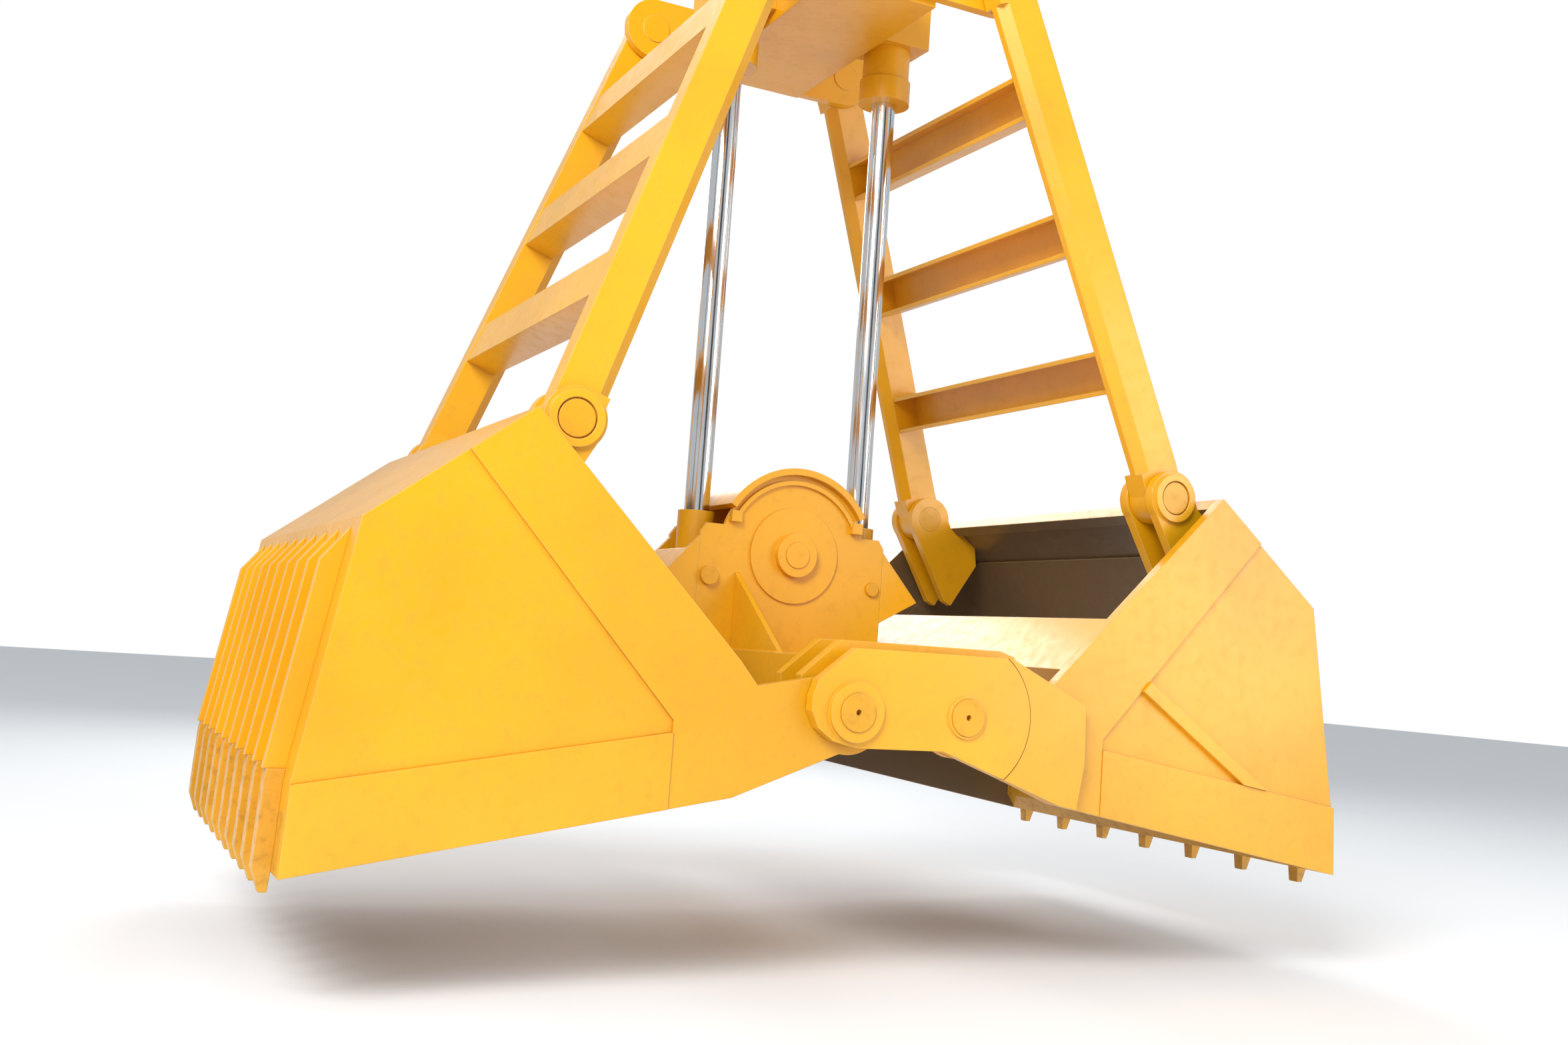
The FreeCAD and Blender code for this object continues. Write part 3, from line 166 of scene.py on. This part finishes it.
def makeWearAndHighlightGroup(setup):
    tree, graph, given, out = makeGroup(
        "paintWearAndHighlight", [("Colour", "Color", (0.7, 0.3, 0.01, 1)), ("Dirt", "Float", 0.25)],
        [("Colour", "Color"), ("Roughness", "Float"), ("Normal", "Vector")])
    place = graph.add("ShaderNodeTexCoord").outputs["Object"]
    drift = graph.noise(place, setup["driftScale"], 3.0)
    speck = graph.noise(place, setup["speckScale"], 6.0, 0.65)
    scuff = graph.ramp(graph.noise(place, setup["scuffScale"], 8.0, 0.7), 0.62, 0.74)
    # corner mask = 1 - (rounded normal . true normal), which is zero away from the corners
    soft = graph.add("ShaderNodeBevel", {"samples": 4}, Radius=setup["cornerRound"]).outputs[0]
    true = graph.add("ShaderNodeNewGeometry").outputs["True Normal"]
    same = graph.add("ShaderNodeVectorMath", {"operation": "DOT_PRODUCT"}, i0=soft, i1=true)
    corner = graph.ramp(graph.math("SUBTRACT", 1.0, same.outputs["Value"]), 0.02, 0.25)
    shade = graph.ramp(drift, 0.3, 0.7, 0.88, 1.08)
    tone = graph.add("ShaderNodeCombineColor", i0=shade, i1=shade, i2=shade).outputs[0]
    colour = graph.mix(1.0, given["Colour"], tone, "MULTIPLY")
    dirty = graph.math("MULTIPLY", graph.ramp(speck, 0.48, 0.75), given["Dirt"])
    colour = graph.mix(dirty, colour, setup["dirtColour"])
    # painted highlight: pale yellow mixed into every corner, in place of light caught on the rounded
    # edges
    edgeHighlight = graph.math("MULTIPLY", corner, setup["edgeHighlightShare"])
    colour = graph.mix(edgeHighlight, colour, setup["edgeHighlightColour"])
    rough = graph.math("ADD", graph.ramp(speck, 0.3, 0.7, 0.28, 0.42),
                       graph.math("MULTIPLY", scuff, 0.14))
    bump = graph.add("ShaderNodeBump", Strength=setup["bumpStrength"], Distance=setup["bumpDepth"],
                     Height=graph.math("ADD", speck, graph.math("MULTIPLY", drift, 2.0)), Normal=soft)
    for key, value in (("Colour", colour), ("Roughness", rough), ("Normal", bump.outputs[0])):
        graph.put(out, key, value)
    return tree


def makeInsideShadeGroup():
    # mask of the faces that look into a jaw, which get a painted shade, from the object-space normal and
    # place
    tree, graph, given, out = makeGroup("insideShadeMask", [("Plate", "Float", 0.0)], [("Mask", "Float")])
    coord = graph.add("ShaderNodeTexCoord").outputs
    place = graph.add("ShaderNodeSeparateXYZ", i0=coord["Object"]).outputs
    facing = graph.add("ShaderNodeSeparateXYZ", i0=coord["Normal"]).outputs
    side = graph.math("SIGN", place[0])
    # shell faces: -(0.894 side nx + 0.447 nz) ; side plates: -(sign(y) ny)
    shell = graph.math("MULTIPLY", graph.math("MULTIPLY", facing[0], side), -0.894)
    shell = graph.math("SUBTRACT", shell, graph.math("MULTIPLY", facing[2], 0.447))
    plate = graph.math("MULTIPLY", graph.math("MULTIPLY", facing[1], graph.math("SIGN", place[1])), -1.0)
    chosen = graph.add("ShaderNodeMix", {"data_type": "FLOAT"}, i0=given["Plate"], i2=shell, i3=plate)
    graph.put(out, "Mask", graph.ramp(chosen.outputs[0], 0.45, 0.6))
    return tree


paintWearAndHighlight = makeWearAndHighlightGroup(wearAndHighlightSetup)
insideShadeMask = makeInsideShadeGroup()

# one line for each finish: colour, dirt share, and how its inner faces are told apart for the painted
# shade
finishSetup = {
    "yellowPaint": {"colour": (0.78, 0.37, 0.004, 1), "dirt": 0.10, "inside": None},
    "shellPaint": {"colour": (0.74, 0.34, 0.004, 1), "dirt": 0.14, "inside": 0.0},
    "sidePaint": {"colour": (0.76, 0.355, 0.004, 1), "dirt": 0.12, "inside": 1.0},
    # painted shade: the liner inside the jaw takes the same dark brown as the inner faces
    "linerSteel": {"colour": (0.15, 0.095, 0.045, 1), "dirt": 0.45, "inside": None},
    "lipSteel": {"colour": (0.62, 0.30, 0.02, 1), "dirt": 0.45, "inside": None},
    "pinSteel": {"colour": (0.70, 0.33, 0.006, 1), "dirt": 0.22, "inside": None},
}
# painted shade: dark brown given to the faces inside the jaws
insideShadeColour = (0.145, 0.092, 0.044, 1)


def makeFinish(name, setup):
    material = bpy.data.materials.new(name)
    material.use_nodes = True
    graph = Graph(material.node_tree)
    shader = material.node_tree.nodes["Principled BSDF"]
    base = setup["colour"]
    if setup["inside"] is not None:
        # painted shade: the inner faces are mixed toward the dark brown
        mask = graph.add("ShaderNodeGroup", {"node_tree": insideShadeMask}, Plate=setup["inside"]).outputs[0]
        base = graph.mix(mask, base, insideShadeColour)
    # the group's colour carries real dirt and a painted highlight on the corners
    wearAndHighlightNode = graph.add("ShaderNodeGroup", {"node_tree": paintWearAndHighlight}, Colour=base, Dirt=setup["dirt"])
    for key, output in (("Base Color", "Colour"), ("Roughness", "Roughness"), ("Normal", "Normal")):
        material.node_tree.links.new(wearAndHighlightNode.outputs[output], shader.inputs[key])
    shader.inputs["Coat Weight"].default_value = 0.0 if "Steel" in name else 0.25
    shader.inputs["Coat Roughness"].default_value = 0.18
    return material


def makeChrome():
    # hard chrome with drawn lines along the rod and a thin oil film
    material = bpy.data.materials.new("hardChrome")
    material.use_nodes = True
    graph = Graph(material.node_tree)
    shader = material.node_tree.nodes["Principled BSDF"]
    place = graph.add("ShaderNodeTexCoord").outputs["Object"]
    along = graph.add("ShaderNodeMapping", Vector=place)
    along.inputs["Scale"].default_value = (1.0, 1.0, 0.03)
    lines = graph.noise(along.outputs[0], 160.0, 3.0)
    film = graph.noise(place, 5.0, 4.0)
    tint = graph.mix(graph.ramp(film, 0.5, 0.75, 0.0, 0.5), (0.78, 0.78, 0.78, 1), (0.62, 0.55, 0.38, 1))
    bump = graph.add("ShaderNodeBump", Strength=0.08, Distance=0.001, Height=lines)
    for key, value in (("Base Color", tint), ("Roughness", graph.ramp(lines, 0.3, 0.7, 0.10, 0.2)),
                       ("Normal", bump.outputs[0])):
        material.node_tree.links.new(value, shader.inputs[key])
    shader.inputs["Metallic"].default_value = 1.0
    return material


finishes = {name: makeFinish(name, setup) for name, setup in finishSetup.items()}
finishes["hardChrome"] = makeChrome()

# the first word found in a node's name decides its finish
finishWords = (
    ("piston_rod", "hardChrome"), ("shell", "shellPaint"), ("side_sheets", "sidePaint"),
    ("side_lips", "sidePaint"), ("arm_plates", "sidePaint"), ("liner", "linerSteel"),
    ("jaw_lip", "lipSteel"), ("teeth", "lipSteel"), ("pins", "pinSteel"), ("", "yellowPaint"),
)
for nodeName in nodeNames:
    found = bpy.data.objects[nodeName]
    finish = next(finishes[name] for word, name in finishWords if word in nodeName)
    found.data.materials.clear()
    found.data.materials.append(finish)
print("finishes on", len(nodeNames), "nodes")

# weld beads: a ripple swept along straight seams where two plates of one body meet
beadSetup = {"radius": 0.007, "ripple": 0.18, "pitch": 0.011, "step": 0.004, "sides": 8,
             "cheekGap": 0.002, "gussetGap": 0.01}


def addBead(name, start, end, body, setup):
    # tube from start to end, radius r (0.8 + a |sin(pi s / pitch)|), narrowed to its closed ends
    start, end = np.array(start, float), np.array(end, float)
    long = np.linalg.norm(end - start)
    along = (end - start) / long
    across = np.cross(along, (0.3, 0.5, 0.81))
    across /= np.linalg.norm(across)
    other = np.cross(along, across)
    rows = int(long / setup["step"]) + 2
    s = np.linspace(0.0, long, rows)
    radius = setup["radius"] * (0.8 + setup["ripple"] * np.abs(np.sin(np.pi * s / setup["pitch"])))
    radius *= np.sqrt(np.clip(np.minimum(s, long - s) / setup["radius"], 0.02, 1.0))
    turn = np.arange(setup["sides"]) * 2 * np.pi / setup["sides"]
    ring = np.cos(turn)[:, None] * across + np.sin(turn)[:, None] * other
    points = (start + s[:, None] * along)[:, None, :] + radius[:, None, None] * ring[None]
    sides = setup["sides"]
    faces = [(r * sides + k, r * sides + (k + 1) % sides, (r + 1) * sides + (k + 1) % sides,
              (r + 1) * sides + k) for r in range(rows - 1) for k in range(sides)]
    faces += [tuple(range(sides))[::-1], tuple((rows - 1) * sides + k for k in range(sides))]
    mesh = bpy.data.meshes.new(name)
    mesh.from_pydata(points.reshape(-1, 3).tolist(), [], faces)
    mesh.polygons.foreach_set("use_smooth", [True] * len(faces))
    mesh.materials.append(finishes["yellowPaint"])
    bead = bpy.data.objects.new(name, mesh)
    scene.collection.objects.link(bead)
    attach(bead, body)
    return bead


def addBeads():
    # one bead along the foot of each cheek plate and of each gusset, on the deck's top face
    low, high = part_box("deck_beam")
    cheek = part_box("housing_cheeks")
    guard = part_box("housing_gussets")
    gap = beadSetup["cheekGap"]
    for index, y in enumerate((cheek[0].y - gap, cheek[1].y + gap)):
        reach = min(-low.x, high.x)
        addBead(f"cheekFootBead{index}", (-reach, y, high.z), (reach, y, high.z), "crosshead", beadSetup)
    for index, (x, y0, y1) in enumerate(((guard[0].x, guard[0].y, cheek[0].y),
                                         (guard[1].x, cheek[1].y, guard[1].y))):
        start = (x, y0 + beadSetup["gussetGap"], high.z)
        addBead(f"gussetFootBead{index}", start, (x, y1, high.z), "crosshead", beadSetup)


addBeads()
print("weld beads made")

# stage: pale floor well below the teeth, and dark cards that only the chrome sees
stageSetup = {"floorDrop": 0.3, "floorSize": 60.0, "floorShade": 0.86, "cardShade": 0.03}


def addSheet(name, corners, shade):
    mesh = bpy.data.meshes.new(name)
    mesh.from_pydata([tuple(corner) for corner in corners], [], [(0, 1, 2, 3)])
    material = bpy.data.materials.new(f"{name}Finish")
    material.use_nodes = True
    graph = Graph(material.node_tree)
    shader = material.node_tree.nodes["Principled BSDF"]
    grain = graph.noise(graph.add("ShaderNodeTexCoord").outputs["Object"], 2.0)
    dark, pale = ((shade * k, shade * k, shade * k, 1) for k in (0.97, 1.0))
    material.node_tree.links.new(graph.mix(grain, dark, pale), shader.inputs["Base Color"])
    shader.inputs["Roughness"].default_value = 0.9
    mesh.materials.append(material)
    made = bpy.data.objects.new(name, mesh)
    scene.collection.objects.link(made)
    return made


def addStage(setup):
    low, high = cadBounds
    z = low[2] - setup["floorDrop"]
    half = setup["floorSize"] / 2
    addSheet("floor", [(-half, -half, z), (half, -half, z), (half, half, z), (-half, half, z)],
             setup["floorShade"])
    for name, x0, x1, y in (("nearCard", -1.2, 0.8, -7.5), ("rightCard", 4.2, 6.4, -3.5),
                            ("leftCard", -6.5, -4.3, -1.0)):
        card = addSheet(name, [(x0, y, z), (x1, y, z), (x1, y, 1.5), (x0, y, 1.5)], setup["cardShade"])
        card.visible_camera = False
        card.visible_diffuse = False
        card.visible_shadow = False
        card.visible_transmission = False


addStage(stageSetup)

# lamps: broad key from the upper left in front, weak fill from the right
lampSetup = {
    "keyLamp": {"place": (-6.0, -6.0, 5.5), "size": 4.0, "power": 900.0},
    "fillLamp": {"place": (6.5, -6.0, 2.0), "size": 5.0, "power": 260.0},
    "rimLamp": {"place": (2.0, 7.0, 5.0), "size": 4.0, "power": 300.0},
}
aim = Vector((0, 0, hingeZ + 0.3))
for name, setup in lampSetup.items():
    lamp = bpy.data.objects.new(name, bpy.data.lights.new(name, "AREA"))
    lamp.data.size = setup["size"]
    lamp.data.energy = setup["power"]
    at = Vector(setup["place"]) + Vector((0, 0, hingeZ))
    lamp.matrix_world = Matrix.Translation(at) @ (aim - at).to_track_quat("-Z", "Y").to_matrix().to_4x4()
    scene.collection.objects.link(lamp)


def addWorld():
    # white where the camera or glass sees it, softer as a light
    world = bpy.data.worlds.new("studioWorld")
    scene.world = world
    world.use_nodes = True
    graph = Graph(world.node_tree)
    shade = world.node_tree.nodes["Background"]
    shade.inputs["Color"].default_value = (0.9, 0.95, 1.0, 1)
    shade.inputs["Strength"].default_value = 0.62
    white = graph.add("ShaderNodeBackground")
    white.inputs["Color"].default_value = (1, 1, 1, 1)
    rays = graph.add("ShaderNodeLightPath").outputs
    seen = graph.math("MAXIMUM", rays["Is Camera Ray"], rays["Is Transmission Ray"])
    both = graph.add("ShaderNodeMixShader", i0=seen, i1=shade.outputs[0], i2=white.outputs[0])
    world.node_tree.links.new(both.outputs[0], world.node_tree.nodes["World Output"].inputs[0])


addWorld()
scene.view_settings.view_transform = "Standard"
print("stage and lamps ready")
